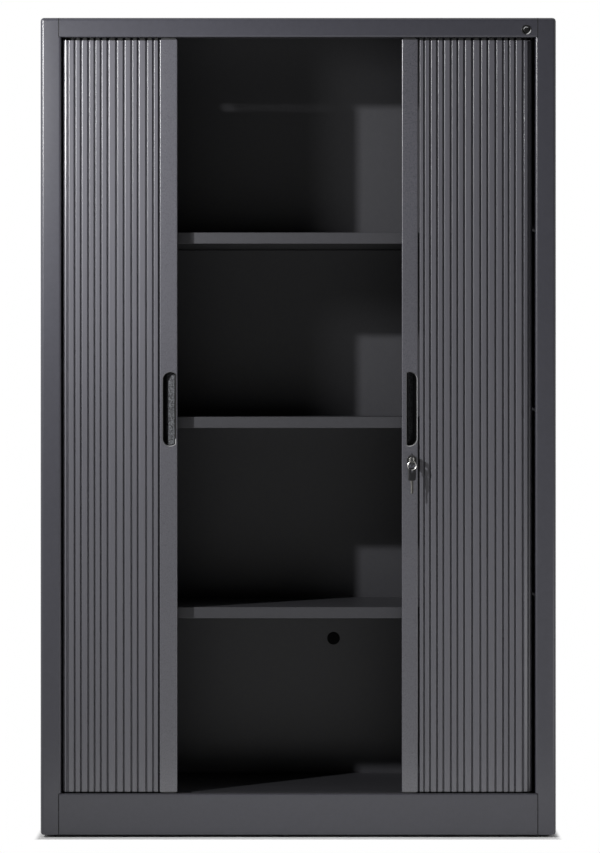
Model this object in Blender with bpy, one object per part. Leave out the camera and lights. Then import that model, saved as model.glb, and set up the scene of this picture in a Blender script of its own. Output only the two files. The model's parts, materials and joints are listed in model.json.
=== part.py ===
"""Steel office cabinet with two horizontal tambour doors, built as separate named pieces.

X runs to the right seen from the front, the front faces -Y and Z is up; the floor is z = 0.
"""
import math

import bmesh
import bpy
import numpy as np
from mathutils import Matrix

MM = 0.001

# Driving sizes of the carcass
WIDTH = 1000 * MM
HEIGHT = 1590 * MM
DEPTH = 470 * MM
FOOT_SHOW = 5 * MM
PLINTH_HEIGHT = 80 * MM
RAIL_HEIGHT = 38 * MM
STILE_WIDTH = 40 * MM
STILE_RETURN = 18 * MM
SHEET = 1.2 * MM
EDGE_RADIUS = 6.5 * MM
FOLD_RADIUS = 4.5 * MM
LIP_RADIUS = 3 * MM

# Driving sizes of the doors
SLAT_PITCH = 13.7 * MM
RIB_OUT = 4.4 * MM
CORNER_RADIUS = 12.5 * MM
LEFT_POST_WIDTH = 34.5 * MM
RIGHT_POST_WIDTH = 31 * MM
POST_DEPTH = 20 * MM
POST_WALL = 2 * MM
POST_EDGE = 2 * MM
POST_SET_BACK = 4 * MM
LEFT_OPEN_SHARE = 0.5098
RIGHT_OPEN_SHARE = 0.4372
PULL_HEIGHT_SHARE = 0.5225
PULL_LENGTH = 145 * MM
PULL_RADIUS = 15.5 * MM
LEFT_PULL_INSET = 5.4 * MM
LEFT_PULL_LAND = 2.6 * MM
RIGHT_PULL_INSET = 0.8 * MM
RIGHT_PULL_LAND = 8.5 * MM
LOCK_BELOW_PULL = 98.5 * MM
LOCK_INSET = 18.9 * MM
LOCK_PROUD = 2.3 * MM

# Driving sizes of the shelves, keys and feet
SHELF_SHARES = (0.245, 0.498, 0.743)
SHELF_LIP = 22 * MM
SHELF_SET_BACK = 46 * MM
BOW_HALF = 12.5 * MM
BOW_SIDE = 12 * MM
BOW_CORNER = 5 * MM
BOW_THICK = 2.6 * MM
NECK = 6 * MM
HOLE_SHIFT = 6 * MM
SPARE_TURN = math.radians(36)
FOOT_RADIUS = 10.5 * MM
STUD_RADIUS = 4 * MM
CAP_RADIUS = 13 * MM
CAP_X = 72 * MM
CAP_Z = 360 * MM

# Clearances
GAP = 0.3 * MM
RUN_GAP = 0.1 * MM
TONGUE_GAP = 0.5 * MM
DOOR_END_GAP = 3 * MM
DOOR_TOP_GAP = 4.5 * MM
MEETING_GAP = 1.5 * MM

# Derived planes of the carcass
HALF = WIDTH / 2
KEY_OUT = LOCK_PROUD + NECK + BOW_HALF + HOLE_SHIFT - POST_SET_BACK
KEY_REACH = KEY_OUT + BOW_SIDE * math.cos(SPARE_TURN) + BOW_THICK / 2 * math.sin(SPARE_TURN)
FRONT = -DEPTH / 2 + KEY_REACH / 2
BACK = FRONT + DEPTH
PLINTH_TOP = FOOT_SHOW + PLINTH_HEIGHT
RAIL_BOTTOM = HEIGHT - RAIL_HEIGHT
OPEN_HALF = HALF - STILE_WIDTH
SEAM_X = OPEN_HALF + FOLD_RADIUS + GAP
OPEN_HEIGHT = RAIL_BOTTOM - PLINTH_TOP

# Derived planes of the tracks and curtains
TRACK_HALF = 5 * MM
TRACK_HEIGHT = 12 * MM
TRACK_FLOOR = 4 * MM
TONGUE_HALF = 1 * MM
TONGUE_REACH = 6.5 * MM
RAIL_LIP = 5 * MM
FLANGE_BACK = 39.7 * MM
CURTAIN_INSET = 5 * MM
RIB_GROOVE = 1.4 * MM
CURTAIN_BACK = 1.6 * MM
GROOVE_WIDTH = 3 * MM
CURTAIN_TAIL = 10 * MM
PATH_Y = FRONT + RAIL_LIP + GAP + TRACK_HALF
PATH_X = OPEN_HALF - CURTAIN_INSET - RIB_OUT
TANGENT_X = PATH_X - CORNER_RADIUS
ARC_LENGTH = CORNER_RADIUS * math.pi / 2
PATH_END_Y = BACK - 10 * MM
CURTAIN_LOW = PLINTH_TOP + DOOR_END_GAP
CURTAIN_HIGH = RAIL_BOTTOM - DOOR_TOP_GAP

# Derived planes of the lead posts
POST_FACE = FRONT + POST_SET_BACK
POST_BACK = POST_FACE + POST_DEPTH
LEFT_POST_IN = -OPEN_HALF * LEFT_OPEN_SHARE
LEFT_POST_OUT = LEFT_POST_IN - LEFT_POST_WIDTH
RIGHT_POST_IN = OPEN_HALF * RIGHT_OPEN_SHARE
RIGHT_POST_OUT = RIGHT_POST_IN + RIGHT_POST_WIDTH
PULL_Z = HEIGHT * PULL_HEIGHT_SHARE
LOCK_Z = PULL_Z - LOCK_BELOW_PULL
LOCK_X = RIGHT_POST_IN + LOCK_INSET

# Derived planes of the inside
LINER_OUT = PATH_X - TRACK_HALF - GAP
LINER_FLANGE = 7 * MM
LINER_IN = LINER_OUT - LINER_FLANGE
INSIDE_Y = FRONT + FLANGE_BACK + GAP
BACK_PANEL_Y = BACK - SHEET - GAP - SHEET
SHELF_TOPS = [PLINTH_TOP + share * OPEN_HEIGHT for share in SHELF_SHARES]

for old in list(bpy.data.objects):
    bpy.data.objects.remove(old, do_unlink=True)

parts = bpy.data.collections.new("tambour_door_cabinet")
cutters = bpy.data.collections.new("cutters")
bpy.context.scene.collection.children.link(parts)
bpy.context.scene.collection.children.link(cutters)

COAT = (0.105, 0.108, 0.118, 1)
SLAT = (0.16, 0.163, 0.172, 1)
BLACK = (0.015, 0.015, 0.016, 1)
GREY_PLASTIC = (0.09, 0.09, 0.095, 1)
STEEL = (0.58, 0.58, 0.56, 1)
ZINC = (0.42, 0.43, 0.44, 1)


def material(name, colour, metallic, roughness):
    """Return a new Principled material."""
    made = bpy.data.materials.new(name)
    made.use_nodes = True
    shader = made.node_tree.nodes["Principled BSDF"]
    shader.inputs["Base Color"].default_value = colour
    shader.inputs["Metallic"].default_value = metallic
    shader.inputs["Roughness"].default_value = roughness
    made.diffuse_color = colour
    return made


def add(name, shape, colour=COAT, metallic=0.0, roughness=0.5, origin=(0, 0, 0)):
    """Make one part from vertices and faces, with its origin where it turns or slides."""
    points, faces = shape
    mesh = bpy.data.meshes.new(name)
    moved = np.asarray(points, float) - np.asarray(origin, float)
    mesh.from_pydata([tuple(p) for p in moved], [], [tuple(f) for f in faces])
    work = bmesh.new()
    work.from_mesh(mesh)
    bmesh.ops.recalc_face_normals(work, faces=work.faces)
    work.to_mesh(mesh)
    work.free()
    mesh.materials.append(material(name, colour, metallic, roughness))
    made = bpy.data.objects.new(name, mesh)
    made.location = origin
    parts.objects.link(made)
    return made


def combine(target, shape, operation="DIFFERENCE"):
    """Cut a hidden shape out of a part, or join it on."""
    points, faces = shape
    name = target.name + "_" + operation.lower()
    mesh = bpy.data.meshes.new(name)
    mesh.from_pydata([tuple(p) for p in points], [], [tuple(f) for f in faces])
    work = bmesh.new()
    work.from_mesh(mesh)
    bmesh.ops.recalc_face_normals(work, faces=work.faces)
    work.to_mesh(mesh)
    work.free()
    tool = bpy.data.objects.new(name, mesh)
    tool.display_type = "WIRE"
    tool.hide_render = True
    cutters.objects.link(tool)
    step = target.modifiers.new(name, "BOOLEAN")
    step.operation = operation
    step.solver = "EXACT"
    step.object = tool


def read(work):
    """Return the points and faces of a bmesh and free it."""
    bmesh.ops.recalc_face_normals(work, faces=work.faces)
    work.verts.index_update()
    points = np.array([tuple(v.co) for v in work.verts])
    faces = [tuple(v.index for v in face.verts) for face in work.faces]
    work.free()
    return points, faces


def prism(outline, axis, low, high):
    """Extrude a closed 2-D outline along an axis.

    The outline lies in the other two axes, taken in X, Y, Z order.
    """
    work = bmesh.new()
    rim = np.insert(np.asarray(outline, float), axis, low, axis=1)
    cap = work.faces.new([work.verts.new(p) for p in rim])
    swept = bmesh.ops.extrude_face_region(work, geom=[cap], use_keep_orig=True)["geom"]
    moved = [item for item in swept if isinstance(item, bmesh.types.BMVert)]
    bmesh.ops.translate(work, verts=moved, vec=np.eye(3)[axis] * (high - low))
    return read(work)


def box(low, high):
    """Return a box between two corners."""
    low = np.asarray(low, float)
    high = np.asarray(high, float)
    work = bmesh.new()
    place = Matrix.Translation((low + high) / 2) @ Matrix.Diagonal((*(high - low), 1))
    bmesh.ops.create_cube(work, size=1, matrix=place)
    return read(work)


def several(shapes):
    """Gather shapes that stand apart into one."""
    points = []
    faces = []
    start = 0
    for some_points, some_faces in shapes:
        points.append(np.asarray(some_points, float))
        faces.extend(tuple(i + start for i in face) for face in some_faces)
        start += len(some_points)
    return np.vstack(points), faces


def stack(rings):
    """Join equal rings of points one after another and cap both ends."""
    count = len(rings[0])
    points = np.vstack(rings)
    faces = [tuple(range(count))]
    for k in range(len(rings) - 1):
        for i in range(count):
            j = (i + 1) % count
            a = k * count
            b = a + count
            faces.append((a + i, b + i, b + j, a + j))
    last = (len(rings) - 1) * count
    faces.append(tuple(range(last + count - 1, last - 1, -1)))
    return points, faces


def circle(radius, sides=24):
    """Return points of a circle in the plane."""
    turn = np.arange(sides) * 2 * math.pi / sides
    return np.column_stack([radius * np.cos(turn), radius * np.sin(turn)])


def turned(profile, centre, axis, sides=24, closed=False):
    """Spin a profile of (radius, height) steps about an axis.

    An open profile gets a cap at each end; a closed one makes a ring with a bore.
    """
    work = bmesh.new()
    line = []
    for radius, height in profile:
        flat = np.insert(np.array([radius, 0.0]), axis, height)
        line.append(work.verts.new(flat + np.asarray(centre, float)))
    edges = [work.edges.new(pair) for pair in zip(line, line[1:])]
    if closed:
        edges.append(work.edges.new((line[-1], line[0])))
    bmesh.ops.spin(
        work, geom=line + edges, cent=centre, axis=np.eye(3)[axis],
        angle=2 * math.pi, steps=sides, use_merge=True,
    )
    bmesh.ops.holes_fill(work, edges=[edge for edge in work.edges if edge.is_boundary])
    return read(work)


def oblong(width, length, sides=10):
    """Return points of an oblong with round ends, long in the second axis."""
    radius = width / 2
    straight = length / 2 - radius
    turn = np.linspace(0, math.pi, sides + 1)
    top = np.column_stack([radius * np.cos(turn), straight + radius * np.sin(turn)])
    return np.vstack([top, -top])


def eased(corner, before, after, radius):
    """Round one corner of an outline: four points from the side before it to the side after."""
    corner = np.asarray(corner, float)
    before = np.asarray(before, float) * radius
    after = np.asarray(after, float) * radius
    centre = corner + before + after
    turn = np.radians([0, 30, 60, 90])[:, None]
    return [tuple(p) for p in centre - after * np.cos(turn) - before * np.sin(turn)]


def mirrored(shape):
    """Reflect a shape in the X = 0 plane."""
    points = np.asarray(shape[0], float) * (-1, 1, 1)
    return points, [tuple(reversed(face)) for face in shape[1]]


def both(shape, side):
    """Return the shape for the right side, or its mirror image for the left."""
    return shape if side == "right" else mirrored(shape)


def track_path(along, start_x):
    """Follow the track from start_x on the front, round the corner and back along the side.

    Returns points and outward normals in plan for distances along the path.
    """
    along = np.asarray(along, float)
    front = TANGENT_X - start_x
    turn = np.clip((along - front) / CORNER_RADIUS, 0, math.pi / 2)
    before = np.minimum(along, front)
    after = np.maximum(along - front - ARC_LENGTH, 0)
    normal = np.column_stack([np.sin(turn), -np.cos(turn)])
    centre = np.column_stack([start_x + before, PATH_Y + CORNER_RADIUS + after])
    return centre + CORNER_RADIUS * normal, normal


# Side panels: folded pans with the front stile, its inner return and flanges all round
def side_shell(low, high, radius):
    """Return a box whose outer upright, top and bottom edges and front top edge are rounded."""
    size = np.subtract(high, low)
    middle = np.add(high, low) / 2
    work = bmesh.new()
    bmesh.ops.create_cube(work, size=1, matrix=Matrix.Translation(middle) @ Matrix.Diagonal((*size, 1)))
    rounded = []
    for line in work.edges:
        middle = (line.verts[0].co + line.verts[1].co) / 2
        outer = abs(middle.x - high[0]) < 1e-6
        front = abs(middle.y - low[1]) < 1e-6
        top = abs(middle.z - high[2]) < 1e-6
        bottom = abs(middle.z - low[2]) < 1e-6
        if (outer and (front or top or bottom)) or (front and top):
            rounded.append(line)
    bmesh.ops.bevel(work, geom=rounded, offset=radius, segments=3, profile=0.5, affect="EDGES")
    return read(work)


for side in ("left", "right"):
    panel_low = FOOT_SHOW
    panel = add(side + "_side_panel", both(side_shell(
        (OPEN_HALF, FRONT, panel_low), (HALF, BACK, HEIGHT), EDGE_RADIUS,
    ), side))
    combine(panel, both(side_shell(
        (OPEN_HALF + SHEET, FRONT + SHEET, panel_low + SHEET),
        (HALF - SHEET, BACK - SHEET, HEIGHT - SHEET), EDGE_RADIUS - SHEET,
    ), side))
    combine(panel, both(box(
        (OPEN_HALF - SHEET, FRONT + STILE_RETURN, panel_low + SHEET),
        (OPEN_HALF + 2 * SHEET, BACK - SHEET, HEIGHT - SHEET),
    ), side))
    # The stile's inner edge is a round hem along the opening, cut back where the rail and plinth meet it
    hem_low = PLINTH_TOP - SHEET
    hem_high = RAIL_BOTTOM + SHEET
    hem_x = OPEN_HALF + FOLD_RADIUS
    hem_y = FRONT + FOLD_RADIUS
    combine(panel, both(box(
        (OPEN_HALF + SHEET / 2, FRONT + SHEET / 2, hem_low), (hem_x, hem_y, hem_high),
    ), side), "UNION")
    hem_outline = [
        *eased((OPEN_HALF, FRONT), (0, 1), (1, 0), FOLD_RADIUS),
        (hem_x, FRONT - SHEET),
        (OPEN_HALF - SHEET, FRONT - SHEET),
        (OPEN_HALF - SHEET, hem_y),
    ]
    combine(panel, both(prism(hem_outline, 2, hem_low - SHEET, hem_high + SHEET), side))
    combine(panel, both(several([
        box(
            (OPEN_HALF - SHEET, FRONT - SHEET, RAIL_BOTTOM - GAP),
            (SEAM_X, BACK + SHEET, HEIGHT + SHEET),
        ),
        box(
            (OPEN_HALF - SHEET, FRONT - SHEET, panel_low - SHEET),
            (SEAM_X, FRONT + FLANGE_BACK + GAP, PLINTH_TOP + GAP),
        ),
    ]), side))
    stud_holes = []
    for foot_y in (FRONT + STILE_WIDTH, BACK - STILE_WIDTH):
        stud_holes.append(turned(
            [(STUD_RADIUS + 0.6 * MM, -SHEET), (STUD_RADIUS + 0.6 * MM, 3 * SHEET)],
            (HALF - STILE_WIDTH / 2, foot_y, panel_low), 2,
        ))
    combine(panel, both(several(stud_holes), side))

# Top panel: roof sheet, front rail with its lip and track flange, and a back flange
track_top = RAIL_BOTTOM + TRACK_HEIGHT
rail_flange = track_top + GAP
top_outline = [
    (BACK, HEIGHT),
    *eased((FRONT, HEIGHT), (1, 0), (0, -1), EDGE_RADIUS),
    *eased((FRONT, RAIL_BOTTOM), (0, 1), (1, 0), LIP_RADIUS),
    (FRONT + RAIL_LIP, RAIL_BOTTOM),
    (FRONT + RAIL_LIP, rail_flange),
    (FRONT + FLANGE_BACK, rail_flange),
    (FRONT + FLANGE_BACK, rail_flange + SHEET),
    (FRONT + RAIL_LIP - SHEET, rail_flange + SHEET),
    (FRONT + RAIL_LIP - SHEET, RAIL_BOTTOM + SHEET),
    (FRONT + LIP_RADIUS, RAIL_BOTTOM + SHEET),
    (FRONT + SHEET, RAIL_BOTTOM + LIP_RADIUS),
    (FRONT + SHEET, HEIGHT - EDGE_RADIUS),
    (FRONT + EDGE_RADIUS, HEIGHT - SHEET),
    (BACK - SHEET, HEIGHT - SHEET),
    (BACK - SHEET, HEIGHT - 20 * MM),
    (BACK, HEIGHT - 20 * MM),
]
top_panel = add("top_panel", prism(top_outline, 0, -SEAM_X + GAP, SEAM_X - GAP))

# Round plug that closes the fixing hole in the front rail
plug_x = OPEN_HALF - 17.5 * MM
plug_z = HEIGHT - 23.5 * MM
combine(top_panel, turned(
    [(8 * MM, -2 * MM), (8 * MM, 2.6 * MM)],
    (plug_x, FRONT, plug_z), 1,
))
add("rail_plug", turned(
    [
        (4.6 * MM, -0.9 * MM),
        (5.6 * MM, -0.5 * MM),
        (6.1 * MM, 0.7 * MM),
        (6.7 * MM, 0.7 * MM),
        (7.4 * MM, -1 * MM),
        (8.2 * MM, -1.6 * MM),
        (9 * MM, -1.5 * MM),
        (9.6 * MM, -1 * MM),
        (9.6 * MM, -GAP),
        (7.7 * MM, -GAP),
        (7.7 * MM, 2.2 * MM),
    ],
    (plug_x, FRONT, plug_z), 1,
), BLACK, 0, 0.4)

# Plinth: front channel with the lower track flange and a bottom flange
low_flange = PLINTH_TOP - TRACK_HEIGHT - GAP
plinth_outline = [
    (FRONT + FLANGE_BACK, FOOT_SHOW),
    (FRONT + 1 * MM, FOOT_SHOW),
    (FRONT, FOOT_SHOW + 1 * MM),
    *eased((FRONT, PLINTH_TOP), (0, -1), (1, 0), LIP_RADIUS),
    (FRONT + RAIL_LIP, PLINTH_TOP),
    (FRONT + RAIL_LIP, low_flange),
    (FRONT + FLANGE_BACK, low_flange),
    (FRONT + FLANGE_BACK, low_flange - SHEET),
    (FRONT + RAIL_LIP - SHEET, low_flange - SHEET),
    (FRONT + RAIL_LIP - SHEET, PLINTH_TOP - SHEET),
    (FRONT + LIP_RADIUS, PLINTH_TOP - SHEET),
    (FRONT + SHEET, PLINTH_TOP - LIP_RADIUS),
    (FRONT + SHEET, FOOT_SHOW + SHEET),
    (FRONT + FLANGE_BACK, FOOT_SHOW + SHEET),
]
add("plinth", prism(plinth_outline, 0, -SEAM_X + GAP, SEAM_X - GAP))

# Base panel: the inside floor, a pan with flanges that hold the lower tracks
base_low = PLINTH_TOP - PLINTH_HEIGHT / 2
base_panel = add("base_panel", box(
    (-LINER_OUT, INSIDE_Y, base_low),
    (LINER_OUT, BACK_PANEL_Y - GAP, PLINTH_TOP),
))
combine(base_panel, box(
    (-LINER_OUT + SHEET, INSIDE_Y + SHEET, base_low - SHEET),
    (LINER_OUT - SHEET, BACK_PANEL_Y - GAP - SHEET, PLINTH_TOP - SHEET),
))

# Back panel: one sheet laid inside the flanges of the sides and the roof
panel_inset = max(2 * SHEET, 0.6 * EDGE_RADIUS)
back_panel = add("back_panel", box(
    (-HALF + panel_inset, BACK_PANEL_Y, FOOT_SHOW + panel_inset),
    (HALF - panel_inset, BACK_PANEL_Y + SHEET, HEIGHT - panel_inset),
))

# Cable cap: a press-in cover over the cable hole in the back panel
cap_centre = (CAP_X, BACK_PANEL_Y, CAP_Z)
cap_stem = CAP_RADIUS - 3 * MM
combine(back_panel, turned(
    [(cap_stem + GAP, -SHEET), (cap_stem + GAP, 2 * SHEET)], cap_centre, 1,
))
add("cable_cap", turned(
    [
        (CAP_RADIUS - 1 * MM, -GAP - 1.6 * MM),
        (CAP_RADIUS, -GAP - 0.8 * MM),
        (CAP_RADIUS, -GAP),
        (cap_stem, -GAP),
        (cap_stem, SHEET + GAP),
    ],
    cap_centre, 1,
), BLACK, 0, 0.4)

# Liners: inner walls that part the shelves from the curtains, slotted for the shelf clips
slot_rows = (INSIDE_Y + 45 * MM, BACK_PANEL_Y - 45 * MM)
slot_width = 14 * MM
slot_height = 5 * MM
slot_pitch = 64 * MM
clip_drop = 7 * MM
liner_low = PLINTH_TOP + GAP
liner_high = rail_flange - GAP
for side in ("left", "right"):
    liner_outline = [
        (LINER_IN, INSIDE_Y),
        (LINER_OUT, INSIDE_Y),
        (LINER_OUT, INSIDE_Y + SHEET),
        (LINER_IN + SHEET, INSIDE_Y + SHEET),
        (LINER_IN + SHEET, BACK_PANEL_Y - GAP - SHEET),
        (LINER_OUT, BACK_PANEL_Y - GAP - SHEET),
        (LINER_OUT, BACK_PANEL_Y - GAP),
        (LINER_IN, BACK_PANEL_Y - GAP),
    ]
    liner = add(side + "_liner", both(prism(liner_outline, 2, liner_low, liner_high), side))
    slots = []
    for top in SHELF_TOPS:
        for shift in (-slot_pitch, 0, slot_pitch):
            for row in slot_rows:
                middle = top - SHELF_LIP - clip_drop + shift
                slots.append(box(
                    (LINER_IN - SHEET, row - slot_width / 2, middle - slot_height / 2),
                    (LINER_IN + 2 * SHEET, row + slot_width / 2, middle + slot_height / 2),
                ))
    combine(liner, both(several(slots), side))

# Shelves: folded pans with lips all round and a return under them, resting on the clips
for number, top in enumerate(SHELF_TOPS, 1):
    front = FRONT + SHELF_SET_BACK
    back = BACK_PANEL_Y - 4 * MM
    shelf_half = LINER_IN - 1 * MM
    fold = 12 * MM
    ease = 0.8 * MM
    shelf_outline = [
        (front + ease, top),
        (front, top - ease),
        (front, top - SHELF_LIP + ease),
        (front + ease, top - SHELF_LIP),
        (back, top - SHELF_LIP),
        (back, top),
    ]
    shelf = add("shelf_%d" % number, prism(shelf_outline, 0, -shelf_half, shelf_half))
    combine(shelf, box(
        (-shelf_half + SHEET, front + SHEET, top - SHELF_LIP + SHEET),
        (shelf_half - SHEET, back - SHEET, top - SHEET),
    ))
    combine(shelf, box(
        (-shelf_half + fold, front + fold, top - SHELF_LIP - SHEET),
        (shelf_half - fold, back - fold, top - SHELF_LIP + 2 * SHEET),
    ))

# Shelf clips: bent tabs hooked into the liner slots, with a ledge under the shelf's side
clip_half = slot_width / 2 - 0.5 * MM
for number, top in enumerate(SHELF_TOPS, 1):
    ledge = top - SHELF_LIP - GAP
    middle = top - SHELF_LIP - clip_drop
    plate = LINER_IN - GAP
    clip_outline = [
        (plate - 14 * MM, ledge),
        (plate, ledge),
        (plate, middle + 1.2 * MM),
        (LINER_IN + SHEET + GAP + 1.2 * MM, middle + 1.2 * MM),
        (LINER_IN + SHEET + GAP + 1.2 * MM, middle - 6 * MM),
        (LINER_IN + SHEET + GAP, middle - 6 * MM),
        (LINER_IN + SHEET + GAP, middle - 0.8 * MM),
        (plate, middle - 0.8 * MM),
        (plate, middle - 8 * MM),
        (plate - 1.5 * MM, middle - 8 * MM),
        (plate - 1.5 * MM, ledge - 2 * MM),
        (plate - 14 * MM, ledge - 2 * MM),
    ]
    for side in ("left", "right"):
        for place, row in zip(("front", "back"), slot_rows):
            name = "clip_%d_%s_%s" % (number, side, place)
            shape = both(prism(clip_outline, 1, row - clip_half, row + clip_half), side)
            add(name, shape, ZINC, 0.9, 0.4)

# Tracks: grooved guide rails along the front, round the corner and back beside the liner
groove = TONGUE_HALF + TONGUE_GAP
section = [
    (-TRACK_HALF, 0),
    (TRACK_HALF, 0),
    (TRACK_HALF, TRACK_HEIGHT),
    (groove, TRACK_HEIGHT),
    (groove, TRACK_FLOOR),
    (-groove, TRACK_FLOOR),
    (-groove, TRACK_HEIGHT),
    (-TRACK_HALF, TRACK_HEIGHT),
]
track_start = 0.4 * MM
track_front = TANGENT_X - track_start
side_length = PATH_END_Y - PATH_Y - CORNER_RADIUS
track_steps = np.concatenate([
    [0],
    track_front + np.linspace(0, ARC_LENGTH, 9),
    [track_front + ARC_LENGTH + side_length],
])
track_points, track_normals = track_path(track_steps, track_start)
for level in ("lower", "upper"):
    for side in ("left", "right"):
        rings = []
        for point, normal in zip(track_points, track_normals):
            ring = []
            for across, rise in section:
                place = point + across * normal
                z = PLINTH_TOP - TRACK_HEIGHT + rise if level == "lower" else track_top - rise
                ring.append((place[0], place[1], z))
            rings.append(np.array(ring))
        add("%s_%s_track" % (side, level), both(stack(rings), side), GREY_PLASTIC, 0, 0.55)

# Lead posts: hollow box profiles that lead each curtain and carry the pull and the lock
for side, inner, outer in (
    ("left", LEFT_POST_IN, LEFT_POST_OUT),
    ("right", RIGHT_POST_IN, RIGHT_POST_OUT),
):
    low_x = min(inner, outer)
    high_x = max(inner, outer)
    post_outline = [
        *eased((low_x, POST_FACE), (0, 1), (1, 0), POST_EDGE),
        *eased((high_x, POST_FACE), (-1, 0), (0, 1), POST_EDGE),
        (high_x, POST_BACK),
        (low_x, POST_BACK),
    ]
    origin = ((low_x + high_x) / 2, PATH_Y, CURTAIN_LOW)
    post = add(side + "_post", prism(post_outline, 2, CURTAIN_LOW, CURTAIN_HIGH), SLAT, 0, 0.4, origin)
    combine(post, box(
        (low_x + POST_WALL, POST_FACE + POST_WALL, CURTAIN_LOW - POST_WALL),
        (high_x - POST_WALL, POST_BACK - POST_WALL, CURTAIN_HIGH + POST_WALL),
    ))
    # Pull: an oblong finger cup cut flat towards the meeting edge, deep on its outer side
    deep = 1 if side == "right" else -1
    inset = RIGHT_PULL_INSET if side == "right" else LEFT_PULL_INSET
    land = RIGHT_PULL_LAND if side == "right" else LEFT_PULL_LAND
    pull_x = outer - deep * (inset + PULL_RADIUS)
    flat = deep * (pull_x - inner) - land

    def cup_outline(shrink):
        """Return the cup's outline made smaller all round, about the centre of its round ends."""
        ring = oblong(2 * (PULL_RADIUS - shrink), PULL_LENGTH - 2 * shrink)
        ring[:, 0] = deep * np.maximum(deep * ring[:, 0], shrink - flat)
        return ring

    combine(post, prism(
        cup_outline(1 * MM) + (pull_x, PULL_Z), 1, POST_FACE - POST_WALL, POST_FACE + POST_WALL * 1.5,
    ))
    cup = POST_DEPTH - 2 * POST_WALL - GAP
    cup_wall = 1.6 * MM
    shallow = 1.5 * MM
    rings = []
    for shrink, depth in (
        (2 * cup_wall, None),
        (2.2 * MM, -0.6 * MM),
        (1.4 * MM, -1 * MM),
        (0.4 * MM, -1 * MM),
        (0, -0.5 * MM),
        (0, -GAP),
        (cup_wall, -GAP),
        (cup_wall, cup + POST_WALL - 1 * MM),
    ):
        ring = cup_outline(shrink)
        if depth is None:
            share = (deep * ring[:, 0] + flat) / (PULL_RADIUS + flat)
            depths = shallow + (cup - shallow) * share
        else:
            depths = np.full(len(ring), depth)
        rings.append(np.column_stack([ring[:, 0] + pull_x, POST_FACE + depths, ring[:, 1] + PULL_Z]))
    add(side + "_pull", stack(rings), BLACK, 0, 0.35, origin)
    # Guide shoes: end plugs whose tongues run in the track grooves
    for level, end, sense, end_gap in (
        ("lower", CURTAIN_LOW, -1, DOOR_END_GAP),
        ("upper", CURTAIN_HIGH, 1, DOOR_TOP_GAP),
    ):
        plug_low = min(end - sense * 12 * MM, end)
        plug_high = max(end - sense * 12 * MM, end)
        fit = POST_WALL + GAP
        shoe = add("%s_%s_shoe" % (side, level), box(
            (low_x + fit, POST_FACE + fit, plug_low),
            (high_x - fit, POST_BACK - fit, plug_high),
        ), BLACK, 0, 0.5, origin)
        tongue_end = end + sense * (end_gap + TONGUE_REACH)
        tongue = box(
            (low_x + fit + 1 * MM, PATH_Y - TONGUE_HALF, min(end - sense * MM, tongue_end)),
            (high_x - fit - 1 * MM, PATH_Y + TONGUE_HALF, max(end - sense * MM, tongue_end)),
        )
        combine(shoe, tongue, "UNION")

# Curtains: ribbed flexible sheets from the lead post round the corner, with tongues in the tracks
for side, inner, outer in (
    ("left", -LEFT_POST_IN, -LEFT_POST_OUT),
    ("right", RIGHT_POST_IN, RIGHT_POST_OUT),
):
    start_x = outer + GAP
    width = outer - inner
    need = TANGENT_X - width - MEETING_GAP / 2 + ARC_LENGTH + CURTAIN_TAIL
    count = math.ceil(need / SLAT_PITCH)
    base = np.arange(count)[:, None] * SLAT_PITCH
    half_groove = GROOVE_WIDTH / 2
    slope = 0.9 * MM
    marks = np.array([
        half_groove - slope / 2,
        half_groove + slope / 2,
        SLAT_PITCH - half_groove - slope / 2,
        SLAT_PITCH - half_groove + slope / 2,
    ])
    along_out = (base + marks).ravel()
    rise_out = np.tile([RIB_GROOVE, RIB_OUT, RIB_OUT, RIB_GROOVE], count)
    total = count * SLAT_PITCH
    front = TANGENT_X - start_x
    along_in = np.concatenate([[0], front + np.linspace(0, ARC_LENGTH, 7), [total]])
    points_out, normals_out = track_path(along_out, start_x)
    points_in, normals_in = track_path(along_in[::-1], start_x)
    thick = np.vstack([
        points_out + rise_out[:, None] * normals_out,
        points_in - CURTAIN_BACK * normals_in,
    ])
    thin = np.vstack([
        points_out + TONGUE_HALF * normals_out,
        points_in - TONGUE_HALF * normals_in,
    ])
    rings = []
    for plan, z in (
        (thin, PLINTH_TOP - TONGUE_REACH),
        (thin, CURTAIN_LOW),
        (thick, CURTAIN_LOW),
        (thick, CURTAIN_HIGH),
        (thin, CURTAIN_HIGH),
        (thin, RAIL_BOTTOM + TONGUE_REACH),
    ):
        rings.append(np.column_stack([plan, np.full(len(plan), z)]))
    add(side + "_curtain", both(stack(rings), side), SLAT, 0, 0.4)

# Lock in the right post: housing, plug with keyway, and a hook cam behind it
lock_centre = (LOCK_X, POST_FACE, LOCK_Z)
right_post = bpy.data.objects["right_post"]
left_post = bpy.data.objects["left_post"]
HOUSING_RADIUS = 8 * MM
PLUG_RADIUS = 5.5 * MM
plug_end = 10.7 * MM
combine(right_post, turned(
    [(HOUSING_RADIUS + GAP, -POST_WALL), (HOUSING_RADIUS + GAP, 1.5 * POST_WALL)], lock_centre, 1,
))
add("lock_housing", turned(
    [
        (PLUG_RADIUS + RUN_GAP, plug_end - 0.5 * MM),
        (PLUG_RADIUS + RUN_GAP, -2 * MM),
        (8.6 * MM, -LOCK_PROUD),
        (9.6 * MM, -1.4 * MM),
        (9.6 * MM, -GAP),
        (HOUSING_RADIUS, -GAP),
        (HOUSING_RADIUS, plug_end - 0.5 * MM),
    ],
    lock_centre, 1, 32, closed=True,
), BLACK, 0, 0.3, lock_centre)
plug = add("lock_plug", turned(
    [(PLUG_RADIUS - 0.5 * MM, -2.2 * MM), (PLUG_RADIUS, -1.7 * MM), (PLUG_RADIUS, plug_end)],
    lock_centre, 1, 32,
), STEEL, 1, 0.3, lock_centre)
BLADE_THICK = 2 * MM
BLADE_HALF = 3.6 * MM
blade_in = 9 * MM
keyway = GAP
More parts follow.
